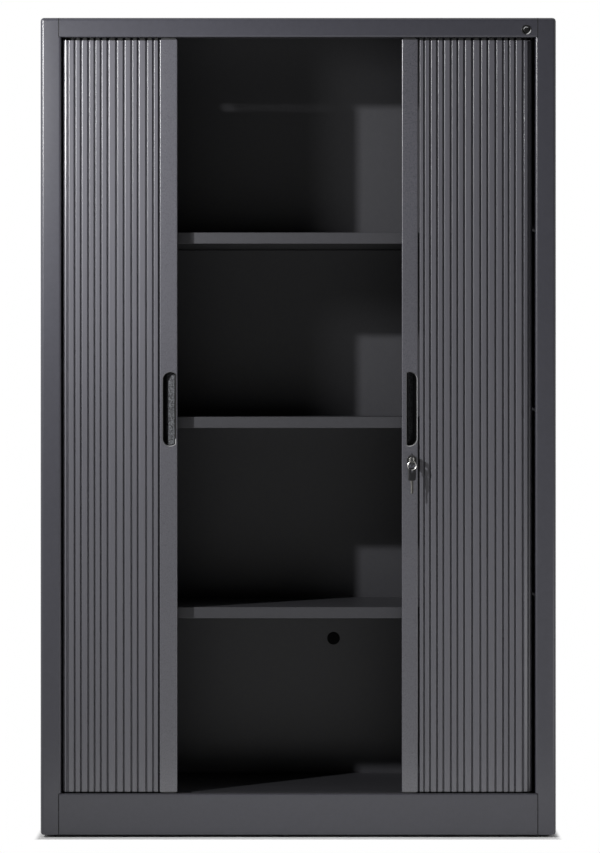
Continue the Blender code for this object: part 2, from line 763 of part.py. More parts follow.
combine(plug, box(
    (LOCK_X - BLADE_THICK / 2 - keyway, POST_FACE - 4 * MM, LOCK_Z - BLADE_HALF - keyway),
    (LOCK_X + BLADE_THICK / 2 + keyway, POST_FACE + blade_in + keyway, LOCK_Z + BLADE_HALF + keyway),
))
cam_low = POST_FACE + plug_end + GAP
cam_high = cam_low + 2.5 * MM
hook_inner = LOCK_X - RIGHT_POST_IN + MEETING_GAP + POST_WALL + 4 * MM
hook_tip = hook_inner + 6 * MM
cam_outline = [
    (4.5 * MM, 4.5 * MM),
    (-3.2 * MM, 4.5 * MM),
    (-3.2 * MM, -hook_inner),
    (-8.2 * MM, -hook_inner),
    (-8.2 * MM, -hook_tip + 1.5 * MM),
    (-5.2 * MM, -hook_tip),
    (1.5 * MM, -hook_tip),
    (3.2 * MM, -hook_tip + 2 * MM),
    (4.5 * MM, -6 * MM),
]
cam_outline = np.asarray(cam_outline) + (LOCK_X, LOCK_Z)
add("hook_cam", prism(cam_outline, 1, cam_low, cam_high), ZINC, 0.9, 0.35, lock_centre)
slot_low = LOCK_Z - hook_tip + 1 * MM
slot_high = LOCK_Z + 5.2 * MM
slot_front = cam_low - 0.5 * MM
slot_back = cam_high + 0.5 * MM
combine(right_post, box(
    (RIGHT_POST_IN - POST_WALL, slot_front, slot_low),
    (RIGHT_POST_IN + 1.5 * POST_WALL, slot_back, slot_high),
))
combine(left_post, box(
    (LEFT_POST_IN - 1.5 * POST_WALL, slot_front, slot_low),
    (LEFT_POST_IN + POST_WALL, slot_back, slot_high),
))
# Strike plate: steel backing behind the left post's slot, where the hook catches
strike_high_x = LEFT_POST_IN - POST_WALL - GAP
strike = add("strike_plate", box(
    (strike_high_x - 1.5 * MM, POST_FACE + 4 * MM, slot_low - 14 * MM),
    (strike_high_x, POST_BACK - POST_WALL - 1 * MM, slot_high + 14 * MM),
), ZINC, 0.9, 0.4, ((LEFT_POST_IN + LEFT_POST_OUT) / 2, PATH_Y, CURTAIN_LOW))
combine(strike, box(
    (strike_high_x - 3 * MM, slot_front, slot_low),
    (strike_high_x + 1.5 * MM, slot_back, slot_high),
))

# Key in the lock, key ring and spare key hanging from it
HOLE_RADIUS = 4 * MM
RING_RADIUS = 8.2 * MM
WIRE_RADIUS = 0.8 * MM
HANG = 2.2 * MM
BLADE_OUT = 26 * MM
tang = 5 * MM


def bow_outline():
    """Return the key bow's outline: a rectangle with round corners, along the second axis."""
    rows = []
    for first, across, along in ((0, 1, 1), (90, -1, 1), (180, -1, -1), (270, 1, -1)):
        turn = np.radians(first + np.linspace(0, 90, 6))
        bend = BOW_CORNER * np.column_stack([np.cos(turn), np.sin(turn)])
        rows.append(bend + (across * (BOW_SIDE - BOW_CORNER), along * (BOW_HALF - BOW_CORNER)))
    return np.vstack(rows)


def make_key(prefix, blade_reach, place, origin):
    """Make a key's plastic bow and steel blade; place maps key coordinates to the cabinet.

    Key coordinates: first across the flat, second along the key, third through its thickness.
    """
    points, faces = prism(bow_outline(), 2, -BOW_THICK / 2, BOW_THICK / 2)
    bow = add(prefix + "_bow", (place(points), faces), BLACK, 0, 0.4, origin)
    points, faces = prism(circle(HOLE_RADIUS) + (0, HOLE_SHIFT), 2, -BOW_THICK, BOW_THICK)
    combine(bow, (place(points), faces))
    wide = 3 * MM
    fit = 0.15 * MM
    tang_box = box(
        (-wide - fit, -BOW_HALF - 2 * MM, -BLADE_THICK / 4 - fit),
        (wide + fit, -BOW_HALF + tang + fit, BLADE_THICK / 4 + fit),
    )
    combine(bow, (place(tang_box[0]), tang_box[1]))
    end = -BOW_HALF - blade_reach
    blade_outline = [
        (-BLADE_HALF, -BOW_HALF - fit),
        (BLADE_HALF, -BOW_HALF - fit),
        (BLADE_HALF, end + 3 * MM),
        (0.5 * MM, end),
        (-BLADE_HALF + 0.8 * MM, end + 2 * MM),
    ]
    for share, cut in ((0.25, 1.6), (0.4, 0.6), (0.55, 2.0), (0.7, 0.9)):
        blade_outline.append((-BLADE_HALF + cut * MM, end + share * blade_reach))
    blade_outline.append((-BLADE_HALF, end + 0.78 * blade_reach))
    points, faces = prism(blade_outline, 2, -BLADE_THICK / 2, BLADE_THICK / 2)
    blade = add(prefix + "_blade", (place(points), faces), STEEL, 1, 0.3, origin)
    tang_join = box(
        (-wide, -BOW_HALF - 2 * MM, -BLADE_THICK / 4),
        (wide, -BOW_HALF + tang, BLADE_THICK / 4),
    )
    combine(blade, (place(tang_join[0]), tang_join[1]), "UNION")


bow_y = POST_FACE - LOCK_PROUD - NECK - BOW_HALF


def place_key(points):
    """Lay the key in the lock: its length along Y, its flat upright, bow to the front."""
    points = np.asarray(points, float)
    return np.column_stack([LOCK_X + points[:, 2], bow_y - points[:, 1], LOCK_Z - points[:, 0]])


make_key("key", NECK + LOCK_PROUD + blade_in, place_key, lock_centre)

hole_y = bow_y - HOLE_SHIFT
ring_top = (LOCK_X, hole_y, LOCK_Z - HOLE_RADIUS + WIRE_RADIUS + 0.6 * MM)
ring_middle = np.array(ring_top) - (0, 0, RING_RADIUS)
wire = circle(WIRE_RADIUS, 8) + (RING_RADIUS, 0)
add("key_ring", turned(wire, ring_middle, 1, 28, closed=True), STEEL, 1, 0.25, ring_top)

spare_pivot = np.array(ring_top) - (0, 0, 2 * RING_RADIUS)
spare_hole = spare_pivot - (0, 0, HANG)


def place_spare(points):
    """Hang the spare key from the ring, blade down, turned about the vertical."""
    points = np.asarray(points, float)
    across = np.array([math.sin(SPARE_TURN), math.cos(SPARE_TURN)])
    through = np.array([math.cos(SPARE_TURN), -math.sin(SPARE_TURN)])
    plan = points[:, :1] * across + points[:, 2:] * through
    rise = points[:, 1] - HOLE_SHIFT
    return np.column_stack([spare_hole[0] + plan[:, 0], spare_hole[1] + plan[:, 1], spare_hole[2] + rise])


make_key("spare", BLADE_OUT, place_spare, tuple(spare_pivot))

# Levelling feet: round glides on studs, held in bushes on the side panels' bottom flanges
foot_places = {
    "front_left": (-1, FRONT + STILE_WIDTH),
    "front_right": (1, FRONT + STILE_WIDTH),
    "back_left": (-1, BACK - STILE_WIDTH),
    "back_right": (1, BACK - STILE_WIDTH),
}
for name, (side, foot_y) in foot_places.items():
    centre = (side * (HALF - STILE_WIDTH / 2), foot_y, 0)
    add("foot_" + name, turned(
        [
            (FOOT_RADIUS - 0.8 * MM, 0),
            (FOOT_RADIUS, 0.8 * MM),
            (FOOT_RADIUS, FOOT_SHOW - 1.2 * MM),
            (FOOT_RADIUS - 1.5 * MM, FOOT_SHOW - GAP),
            (STUD_RADIUS, FOOT_SHOW - GAP),
            (STUD_RADIUS, FOOT_SHOW + 34 * MM),
        ],
        centre, 2,
    ), BLACK, 0, 0.5, centre)
    bush_low = FOOT_SHOW + SHEET + GAP
    bush_high = bush_low + 14 * MM
    bore = STUD_RADIUS + RUN_GAP
    add("bush_" + name, turned(
        [(8 * MM, bush_low), (8 * MM, bush_high), (bore, bush_high), (bore, bush_low)],
        centre, 2, closed=True,
    ), ZINC, 0.9, 0.45)
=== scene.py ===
import json
import math

import bmesh
import bpy
import numpy as np
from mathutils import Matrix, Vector

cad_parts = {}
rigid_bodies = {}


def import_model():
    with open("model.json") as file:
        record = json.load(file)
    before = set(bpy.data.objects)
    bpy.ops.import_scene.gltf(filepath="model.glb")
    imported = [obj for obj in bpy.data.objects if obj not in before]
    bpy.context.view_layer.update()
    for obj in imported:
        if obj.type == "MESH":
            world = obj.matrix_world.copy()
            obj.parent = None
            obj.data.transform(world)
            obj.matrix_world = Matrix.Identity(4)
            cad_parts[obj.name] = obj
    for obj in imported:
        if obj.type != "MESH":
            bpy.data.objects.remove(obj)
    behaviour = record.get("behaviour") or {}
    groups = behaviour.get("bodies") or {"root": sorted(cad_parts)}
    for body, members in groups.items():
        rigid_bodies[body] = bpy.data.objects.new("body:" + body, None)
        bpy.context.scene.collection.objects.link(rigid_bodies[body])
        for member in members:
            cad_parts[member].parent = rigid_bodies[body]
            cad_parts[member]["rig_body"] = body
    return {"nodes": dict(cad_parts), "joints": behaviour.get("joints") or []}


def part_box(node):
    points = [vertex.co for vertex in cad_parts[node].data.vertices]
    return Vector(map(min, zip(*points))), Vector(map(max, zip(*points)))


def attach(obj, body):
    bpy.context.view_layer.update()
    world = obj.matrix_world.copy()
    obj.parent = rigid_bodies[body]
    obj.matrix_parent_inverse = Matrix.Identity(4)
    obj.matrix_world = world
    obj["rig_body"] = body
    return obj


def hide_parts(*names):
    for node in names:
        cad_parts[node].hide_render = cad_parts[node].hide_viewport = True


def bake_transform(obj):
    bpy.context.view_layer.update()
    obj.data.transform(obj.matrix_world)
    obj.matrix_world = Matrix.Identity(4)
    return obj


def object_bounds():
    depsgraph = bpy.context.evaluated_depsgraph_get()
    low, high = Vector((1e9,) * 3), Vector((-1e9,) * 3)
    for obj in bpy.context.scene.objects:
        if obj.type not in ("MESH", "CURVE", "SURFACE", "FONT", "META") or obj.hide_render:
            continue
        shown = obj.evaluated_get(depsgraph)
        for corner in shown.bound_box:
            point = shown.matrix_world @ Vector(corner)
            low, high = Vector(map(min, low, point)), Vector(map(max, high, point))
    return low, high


for spare in list(bpy.data.objects):
    bpy.data.objects.remove(spare, do_unlink=True)

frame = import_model()
cad_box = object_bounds()
MM = 0.001


# Side panels: deep pans folded from steel sheet, each with a front stile and its inner hem.
# They are powder coated in a fine-textured graphite grey, and every fold has a small radius.
class Wire:
    """An output socket of a node tree; arithmetic on it adds Math nodes to that tree."""

    def __init__(self, tree, socket=None):
        self.tree = tree
        self.socket = socket

    def node(self, kind, settings=None, inputs=None, output=0):
        """Add a node: its settings come first, then values or wires for its input sockets."""
        made = self.tree.nodes.new(kind)
        for name, value in (settings or {}).items():
            setattr(made, name, value)
        for name, value in (inputs or {}).items():
            if isinstance(value, Wire):
                self.tree.links.new(value.socket, made.inputs[name])
            else:
                made.inputs[name].default_value = value
        return Wire(self.tree, made.outputs[output])

    def math(self, operation, first, second=0.0):
        """Add a Math node on one or two values or wires."""
        return self.node("ShaderNodeMath", {"operation": operation}, {0: first, 1: second})

    def __add__(self, other):
        return self.math("ADD", self, other)

    def __sub__(self, other):
        return self.math("SUBTRACT", self, other)

    def __rsub__(self, other):
        return self.math("SUBTRACT", other, self)

    def __mul__(self, other):
        return self.math("MULTIPLY", self, other)

    __radd__ = __add__
    __rmul__ = __mul__

    def between(self, low, high):
        """A smooth step of this value, from 0 at low to 1 at high."""
        return self.node("ShaderNodeMapRange", {"interpolation_type": "SMOOTHSTEP"}, {
            "Value": self, "From Min": low, "From Max": high,
        })

    def tint(self, low, high):
        """Mix two colours, or wires that carry colours, by this value."""
        low, high = (end if isinstance(end, Wire) else (*end, 1) for end in (low, high))
        return self.node("ShaderNodeMix", {"data_type": "RGBA"}, {0: self, 6: low, 7: high}, 2)

    def axis(self, name):
        """One coordinate, X, Y or Z, of this vector."""
        return self.node("ShaderNodeSeparateXYZ", None, {"Vector": self}, name)


def noise(place, scale, detail=2.0, stretch=(1, 1, 1)):
    """Noise between 0 and 1 with a grain of 1 / scale metres, stretched along the axes."""
    moved = place.node("ShaderNodeMapping", None, {"Vector": place, "Scale": stretch})
    return place.node(
        "ShaderNodeTexNoise", None, {"Vector": moved, "Scale": scale, "Detail": detail},
    )


def finish(name, colour, roughness, metallic=0.0, specular=0.5):
    """Start a material; returns it with its shader and a wire of Object coordinates."""
    made = bpy.data.materials.new(name)
    made.use_nodes = True
    shader = made.node_tree.nodes["Principled BSDF"]
    shader.inputs["Base Color"].default_value = (*colour, 1)
    shader.inputs["Roughness"].default_value = roughness
    shader.inputs["Metallic"].default_value = metallic
    shader.inputs["Specular IOR Level"].default_value = specular
    place = Wire(made.node_tree).node("ShaderNodeTexCoord", output="Object")
    return made, shader, place


def shades(colour, spread):
    """A colour made darker and lighter by a share."""
    return [part * (1 - spread) for part in colour], [part * (1 + spread) for part in colour]


def feed(shader, place, height, depth, **wires):
    """Link wires to the shader's sockets; the height becomes a bump of a depth in metres."""
    wires["Normal"] = place.node("ShaderNodeBump", None, {
        "Height": height, "Distance": depth, "Strength": 1.0,
    })
    for name, wire in wires.items():
        place.tree.links.new(wire.socket, shader.inputs[name.replace("_", " ")])


def powder_coat(name, colour, roughness, specular, joint_x=None):
    """Powder coat: a shallow orange peel of about a millimetre over faint mottling.

    Where a joint's x is given, a dark line of painted shade runs along its gap beside the rail and
    the plinth.
    """
    made, shader, place = finish(name, colour, roughness, 0.0, specular)
    peel = noise(place, 800, 2)
    mottle = noise(place, 130, 3)
    tinted = (peel * 0.4 + mottle * 0.6).tint(*shades(colour, 0.22))
    rough = peel * 0.1 + (roughness - 0.05)
    # Painted shade: along the joint's gap the colour turns near black and fully rough.
    if joint_x:
        across = place.math("ABSOLUTE", place.axis("X")) - joint_x
        height = place.axis("Z")
        line = 1 - place.math("ABSOLUTE", across).between(*JOINT_SHADE_FADE)
        ends = height.between(RAIL_LOW - JOINT_SHADE_END, RAIL_LOW) + 1
        line = line * (ends - height.between(PLINTH_HIGH, PLINTH_HIGH + JOINT_SHADE_END))
        rough = rough + line * (1 - roughness)
        tinted = line.tint(tinted, JOINT_SHADE_BLACK)
    feed(shader, place, peel, 0.02 * MM, Base_Color=tinted, Roughness=rough)
    return made


def dress(node, material, ease=0.0):
    """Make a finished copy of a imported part: doubles merged, flat faces joined, folds eased."""
    source = frame["nodes"][node]
    points = np.zeros(len(source.data.vertices) * 3)
    source.data.vertices.foreach_get("co", points)
    corners = np.zeros(len(source.data.loops), int)
    source.data.loops.foreach_get("vertex_index", corners)
    mesh = bpy.data.meshes.new(node + "_finish")
    mesh.from_pydata(points.reshape(-1, 3), [], corners.reshape(-1, 3).tolist())
    work = bmesh.new()
    work.from_mesh(mesh)
    bmesh.ops.remove_doubles(work, verts=work.verts, dist=0.002 * MM)
    bmesh.ops.dissolve_limit(
        work, angle_limit=math.radians(0.5), verts=work.verts, edges=work.edges,
    )
    work.to_mesh(mesh)
    work.free()
    mesh.materials.append(material)
    made = bpy.data.objects.new(mesh.name, mesh)
    bpy.context.scene.collection.objects.link(made)
    mesh.shade_smooth()
    if ease:
        step = made.modifiers.new("eased_edges", "BEVEL")
        step.width = ease
        step.segments = 2
        step.limit_method = "ANGLE"
        step.angle_limit = math.radians(40)
    else:
        mesh.set_sharp_from_angle(angle=math.radians(40))
    made.modifiers.new("flat_faces", "WEIGHTED_NORMAL").keep_sharp = True
    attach(made, source["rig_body"])
    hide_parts(node)
    return made


GRAPHITE = (0.0375, 0.0375, 0.0465)
# Near black of the joint line: painted shade in the narrow gap between stile, rail and plinth.
JOINT_SHADE_BLACK = (0.002, 0.002, 0.002)
JOINT_SHADE_FADE = (0.4 * MM, 1.3 * MM)
JOINT_SHADE_END = 0.5 * MM
HALF_GAP = 0.15 * MM
PLINTH_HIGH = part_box("plinth")[1].z
RAIL_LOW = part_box("top_panel")[0].z
JOINT_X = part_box("plinth")[1].x + HALF_GAP
coat = powder_coat("graphite_powder_coat", GRAPHITE, 0.3, 0.48, JOINT_X)
for side in ("left", "right"):
    dress(side + "_side_panel", coat, 0.5 * MM)

# Top panel and plinth: the roof sheet with its folded front rail, and the front channel below.
# A round push-in plug of black plastic closes the fixing hole at the rail's right end. Its ring has
# a painted highlight towards the lower right, and its button one along the top.
dress("top_panel", coat, 0.5 * MM)
dress("plinth", coat, 0.5 * MM)


def moulded(name, colour, roughness, grain, specular=0.5):
    """Moulded plastic: an even fine spark-eroded grain with a faint bloom."""
    made, shader, place = finish(name, colour, roughness, 0.0, specular)
    bloom = noise(place, 60, 2)
    feed(
        shader, place, noise(place, 1500, 2), grain,
        Base_Color=bloom.tint(*shades(colour, 0.2)),
        Roughness=bloom * 0.12 + (roughness - 0.06),
    )
    return made


black = moulded("black_plastic", (0.012, 0.012, 0.013), 0.34, 0.05 * MM)
PLUG_BLACK = (0.004, 0.004, 0.004)
# Pale grey of the plug's painted highlights.
PLUG_HIGHLIGHT = (0.5, 0.5, 0.51)
RING_START = (7 * MM, 7.6 * MM)
RING_HIGHLIGHT_SIDE = (7.5 * MM, 10.5 * MM)
BUTTON_START = (4.2 * MM, 4.8 * MM)
BUTTON_END = (6 * MM, 6.5 * MM)
BUTTON_HIGHLIGHT_SIDE = (2.2 * MM, 4 * MM)
plug_low, plug_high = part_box("rail_plug")
plug_finish, plug_shader, place = finish("plug_plastic", PLUG_BLACK, 0.35, 0.0, 0.3)
offset = place.node("ShaderNodeVectorMath", {"operation": "SUBTRACT"}, {
    0: place, 1: (plug_low + plug_high) / 2,
})
across = offset.axis("X")
upward = offset.axis("Z")
radius = place.math("SQRT", across * across + upward * upward)
# Painted highlights: pale arcs where the ring faces the lower right and the button the top.
ring_highlight = radius.between(*RING_START) * (across - upward).between(*RING_HIGHLIGHT_SIDE)
button_highlight = radius.between(*BUTTON_START) - radius.between(*BUTTON_END)
button_highlight = button_highlight * (upward - across * 0.4).between(*BUTTON_HIGHLIGHT_SIDE)
feed(
    plug_shader, place, noise(place, 1500, 2), 0.02 * MM,
    Base_Color=(ring_highlight + button_highlight * 0.7).tint(PLUG_BLACK, PLUG_HIGHLIGHT),
)
dress("rail_plug", plug_finish, 0.3 * MM)

# Inside walls: the base pan, the back sheet and the two slotted liners, from sheet with a
# thinner and duller coat, whose darker grey is painted shade for the recessed inside. A black cap
# closes the cable hole low in the back sheet.
# Darker than the outer coat: painted shade for the recessed inside.
INNER_SHADED_GREY = (0.029, 0.029, 0.033)
inner_shaded_coat = powder_coat("inner_shaded_powder_coat", INNER_SHADED_GREY, 0.4, 0.4)
for node in ("base_panel", "back_panel", "left_liner", "right_liner"):
    frame["nodes"][node].data.materials[0] = inner_shaded_coat
dull_black = moulded("cap_plastic", (0.003, 0.003, 0.003), 0.7, 0.1 * MM, 0.1)
dress("cable_cap", dull_black, 0.3 * MM)

# Shelves: coated steel pans with a folded lip all round, on bent clips of bright zinc plate
# that hook into the liners' slots.
# The shelves take the inner coat, with its painted shade.
for number in (1, 2, 3):
    dress("shelf_%d" % number, inner_shaded_coat, 0.4 * MM)


def plated(name, colour, roughness):
    """Plated or polished steel: brushed lightly along the height, with a cloudy passivation."""
    made, shader, place = finish(name, colour, roughness, 1.0)
    brushed = noise(place, 900, 2, (1, 1, 0.06))
    feed(
        shader, place, brushed, 0.02 * MM,
        Base_Color=noise(place, 140, 3).tint(*shades(colour, 0.14)),
        Roughness=brushed * 0.16 + (roughness - 0.08),
    )
    return made


zinc = plated("zinc_plate", (0.52, 0.53, 0.55), 0.38)
for node in frame["nodes"]:
    if node.startswith(("clip_", "bush_")) or node in ("hook_cam", "strike_plate"):
        frame["nodes"][node].data.materials[0] = zinc

# Tracks: grooved guide rails of dark grey plastic, let into the rail and the plinth, that turn
# the corner inside the stile and run back beside the liners.
rail_grey = moulded("track_plastic", (0.045, 0.045, 0.048), 0.5, 0.1 * MM)
for side in ("left", "right"):
    for level in ("lower", "upper"):
        frame["nodes"]["%s_%s_track" % (side, level)].data.materials[0] = rail_grey

# Lead posts: extruded box profiles that lead each curtain, coated to match the slats, with black
# plastic end plugs whose tongues run in the tracks.
post_coat = powder_coat("post_coat", (0.056, 0.0556, 0.066), 0.28, 0.85)
for side in ("left", "right"):
    dress(side + "_post", post_coat, 0.5 * MM)
    for level in ("lower", "upper"):
        frame["nodes"]["%s_%s_shoe" % (side, level)].data.materials[0] = black

# Pulls: oblong finger cups let into the posts, black and deep on the outer side. From there the
# floor rises to the meeting edge as a grip of grey plastic with a coarse moulded grain. The
# right grip is painted darker as shade, and the rims carry painted highlights along their right
# and lower edges.
PULL_RADIUS = 15.5 * MM
PULL_LENGTH = 145 * MM
STRAIGHT_HALF = PULL_LENGTH / 2 - PULL_RADIUS
CUP_DEPTH = 15.7 * MM
CUP_SHALLOW = 1.5 * MM
GRIP_GREY = (0.1, 0.103, 0.11)
# Pale grey of the rims: a little of it gives the lip's flat top its grey, all of it is a painted
# highlight.
RIM_TONE_AND_HIGHLIGHT_GREY = (0.6, 0.6, 0.61)
PULL_BLACK = (0.002, 0.002, 0.0022)
GRAIN_DEPTH = 1.2 * MM
FLOOR_ROW = 13
GRIP_END = 0.75
GRIP_FADE = 0.15
pull_finish, pull_shader, place = finish("pull_plastic", PULL_BLACK, 0.6, 0.0, 0.06)
grip = place.node("ShaderNodeAttribute", {"attribute_name": "grip"}, None, "Fac")
# The rim value mixes in the lip's own grey and the painted highlights.
rim_tone_and_highlight = place.node("ShaderNodeAttribute", {"attribute_name": "rim_tone_and_highlight"}, None, "Fac")
grain = noise(place, 400, 1.5)
shaded = (grip * (grain.between(0.36, 0.64) * 0.75 + 0.25)).tint(PULL_BLACK, GRIP_GREY)
feed(pull_shader, place, grain * grip, GRAIN_DEPTH, Base_Color=rim_tone_and_highlight.tint(shaded, RIM_TONE_AND_HIGHLIGHT_GREY))
half_turn = np.linspace(0, math.pi, 33)
# The right grip's grey is cut to 0.4 of the left's as painted shade.
for side, deep, grip_unshaded_share in (("left", -1, 1.0), ("right", 1, 0.4)):
    low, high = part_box(side + "_pull")
    pull_x = (low.x if deep < 0 else high.x) - deep * PULL_RADIUS
    pull_z = (low.z + high.z) / 2
    flat = high.x - low.x - PULL_RADIUS
    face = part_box(side + "_post")[0].y

    def cup_ring(shrink):
        """The cup's outline made smaller all round: a stadium cut flat at the meeting edge."""
        radius = PULL_RADIUS - shrink
        top = np.column_stack([radius * np.cos(half_turn), radius * np.sin(half_turn)])
        top[:, 1] += STRAIGHT_HALF
        ring = np.vstack([top, -top])
        ring[:, 0] = deep * np.maximum(deep * ring[:, 0], shrink - flat)
        return ring

    def floor_depth(ring):
        """Depth a + (b - a) s^0.6, with s the share of the way from the meeting edge."""
        share = (deep * ring[:, 0] + flat) / (PULL_RADIUS + flat)
        return CUP_SHALLOW + (CUP_DEPTH - CUP_SHALLOW) * np.clip(share, 0, 1) ** 0.6

    rings = []
    for shrink, depth in (
        (1.6, 16.7), (1.6, -0.3), (0, -0.3), (0, -0.55), (0.12, -0.8), (0.4, -1), (1.2, -1),
        (1.7, -0.85), (2.05, -0.5), (2.2, 0),
    ):
        ring = cup_ring(shrink * MM)
        rings.append(np.column_stack([ring[:, 0], np.full(len(ring), depth * MM), ring[:, 1]]))
    for shrink, share in ((2.3, 0.2), (2.5, 0.65), (2.9, 0.88), (3.6, 0.98), (4.6, 1)):
        ring = cup_ring(shrink * MM)
        rings.append(np.column_stack([ring[:, 0], floor_depth(ring) * share, ring[:, 1]]))
    middle = np.column_stack([
        np.full(len(ring), deep * (PULL_RADIUS - flat) / 2),
        np.clip(ring[:, 1], -0.4 * PULL_LENGTH, 0.4 * PULL_LENGTH),
    ])
    for share in (0.3, 0.6, 0.9):
        inward = ring + (middle - ring) * share
        rings.append(np.column_stack([inward[:, 0], floor_depth(inward), inward[:, 1]]))
    points = np.vstack(rings)
    count = len(ring)
    shares = (deep * points[:, 0] + flat) / (PULL_RADIUS + flat)
    on_floor = np.arange(len(points)) >= FLOOR_ROW * count
    weight = grip_unshaded_share * on_floor * np.clip((GRIP_END - shares) / GRIP_FADE, 0, 1)
    around = np.arange(count)
    ahead = (around + 1) % count
    strip = np.column_stack([around, ahead, ahead + count, around + count])
    faces = np.vstack([strip + k * count for k in range(len(rings) - 1)]).tolist()
    faces += [around[::-1].tolist(), (around + (len(rings) - 1) * count).tolist()]
    mesh = bpy.data.meshes.new(side + "_pull_cup")
    mesh.from_pydata(points + (pull_x, face, pull_z), [], faces)
    mesh.attributes.new("grip", "FLOAT", "POINT").data.foreach_set("value", weight)
    # Rim value: 0.11 on the lip's flat top for its own grey; the inner edges towards the right and
    # lower side take up to 1 as a painted highlight.
    flat_band = np.repeat([0.11] * 6 + [0] * 12, count)
    highlight_band = np.repeat([0, 0, 1, 1, 1, 1, 0.2] + [0] * 11, count)
    bow = points[:, 2] - np.clip(points[:, 2], -STRAIGHT_HALF, STRAIGHT_HALF)
    toward_highlight = (0.8 * points[:, 0] - 0.6 * bow) / np.hypot(points[:, 0], bow)
    highlit = np.clip(2 * toward_highlight - 0.2, 0, 1) * ((deep * points[:, 0] > 0) | (bow < 0))
    edge = np.maximum(flat_band, highlight_band * highlit)
    mesh.attributes.new("rim_tone_and_highlight", "FLOAT", "POINT").data.foreach_set("value", edge)
    work = bmesh.new()
    work.from_mesh(mesh)
    bmesh.ops.recalc_face_normals(work, faces=work.faces)
    work.to_mesh(mesh)
    work.free()
    mesh.materials.append(pull_finish)
    mesh.shade_smooth()
    mesh.set_sharp_from_angle(angle=math.radians(45))
    cup = bpy.data.objects.new(mesh.name, mesh)
    bpy.context.scene.collection.objects.link(cup)
    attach(cup, side + "_door")
    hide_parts(side + "_pull")

# Curtains: stiff plastic slats with flat rounded ribs, hinged by thin pleated webs. They run from
# the lead post to the corner, round it and back beside the liner, on guide tongues that are painted
# black as shade in the gaps above and below. The slats hang loosely, so the widths on show and the
# hinges at the corner (in mm) are not quite even.
SLAT_WIDTHS = {
    "left": (1.4, 11.1, 13.2, 16.7, 12.2, 14.9, 14.5, 16.9, 13.2, 12, 12.2, 14.4, 12, 13.8),
    "right": (2.2, 10.1, 11.6, 13.6, 12.2, 14.5, 12.8, 13, 15.7, 15.9, 13.6, 15.7, 14.7, 10.9,
              12.2, 15),
}
CORNER_HINGES = {"left": ((3.4, 1.3), (0, 15)), "right": ((-4.8, 2.7), (0, 14.9))}
SLAT_PITCH = 13.7 * MM
GROOVE_WIDTH = 2.4 * MM
RIB_OUT = 4.4 * MM
GROOVE_OUT = 0.5 * MM
CURTAIN_BACK = 1.6 * MM
CORNER_RADIUS = 12.5 * MM
TONGUE_HALF = 1 * MM
END_EASE = 0.4 * MM
SLATS_BELOW_POST = 1 * MM
CORNER_FILL = {"left": 3.1 * MM, "right": 0}
PATH_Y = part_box("right_curtain")[0].y + RIB_OUT
PATH_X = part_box("right_curtain")[1].x - RIB_OUT
TANGENT_X = PATH_X - CORNER_RADIUS
TONGUE_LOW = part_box("right_curtain")[0].z
TONGUE_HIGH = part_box("right_curtain")[1].z
CURTAIN_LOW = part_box("right_post")[0].z
CURTAIN_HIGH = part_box("right_post")[1].z - SLATS_BELOW_POST
CURTAIN_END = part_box("right_curtain")[1].y
# Black of the tongues: painted shade in the gaps above and below the slats.
TONGUE_SHADE_BLACK = (0.002, 0.002, 0.002)
TONGUE_FADE = 0.2 * MM
END_SHARE = 0.8


def extruded(name, colour, roughness, specular):
    """Extruded satin plastic with long faint draw lines; the guide tongues are painted black as
    shade.
    """
    made, shader, place = finish(name, colour, roughness, 0.0, specular)
    drawn = noise(place, 700, 2, (1, 1, 0.01))
    height = place.axis("Z")
    # Painted shade: above and below the slats the colour turns black and fully rough.
    tongue_shade = height.between(CURTAIN_HIGH, CURTAIN_HIGH + TONGUE_FADE) + 1
    tongue_shade = tongue_shade - height.between(CURTAIN_LOW - TONGUE_FADE, CURTAIN_LOW)
    tinted = tongue_shade.tint(drawn.tint(*shades(colour, 0.12)), TONGUE_SHADE_BLACK)
    rough = drawn * 0.08 + (roughness - 0.04) + tongue_shade * (1 - roughness)
    feed(shader, place, drawn, 0.004 * MM, Base_Color=tinted, Roughness=rough)
    return made


slat_finish = extruded("slat_plastic", (0.077, 0.0762, 0.088), 0.29, 0.6)


def path_point(along, outward, start_x):
    """Plan points at a distance along the track from start_x and a distance out from it.

    The track runs straight to the tangent, turns a quarter circle and runs straight back.
    """
    front = TANGENT_X - start_x
    turn = np.clip((along - front) / CORNER_RADIUS, 0, math.pi / 2)
    after = np.maximum(along - front - CORNER_RADIUS * math.pi / 2, 0)
    x = start_x + np.minimum(along, front) + (CORNER_RADIUS + outward) * np.sin(turn)
    y = PATH_Y + CORNER_RADIUS + after - (CORNER_RADIUS + outward) * np.cos(turn)
    return np.column_stack([x, y])


RIB_STEPS = np.sin(np.linspace(-math.pi / 2, math.pi / 2, 25))


def slat_lines(first, last, lift=0.0):
    """Outer and inner plan lines of stiff slats whose middle lines run between two points.

    Over the width u from -1 to 1 a rib stands out by g + (r - g) (1 - |u|^10)^(1/2).
    """
    run = last - first
    length = np.linalg.norm(run, axis=1, keepdims=True)
    run = run / length
    out = np.column_stack([run[:, 1], -run[:, 0]])
    half = (length - GROOVE_WIDTH) / 2
    middle = (first + last) / 2
    line = middle[:, None] + (half * RIB_STEPS)[:, :, None] * run[:, None]
    rise = GROOVE_OUT + lift + (RIB_OUT - GROOVE_OUT) * np.sqrt(1 - np.abs(RIB_STEPS) ** 10)
    outer = line + rise[None, :, None] * out[:, None]
    inner = line - CURTAIN_BACK * out[:, None]
    return outer.reshape(-1, 2), inner.reshape(-1, 2)


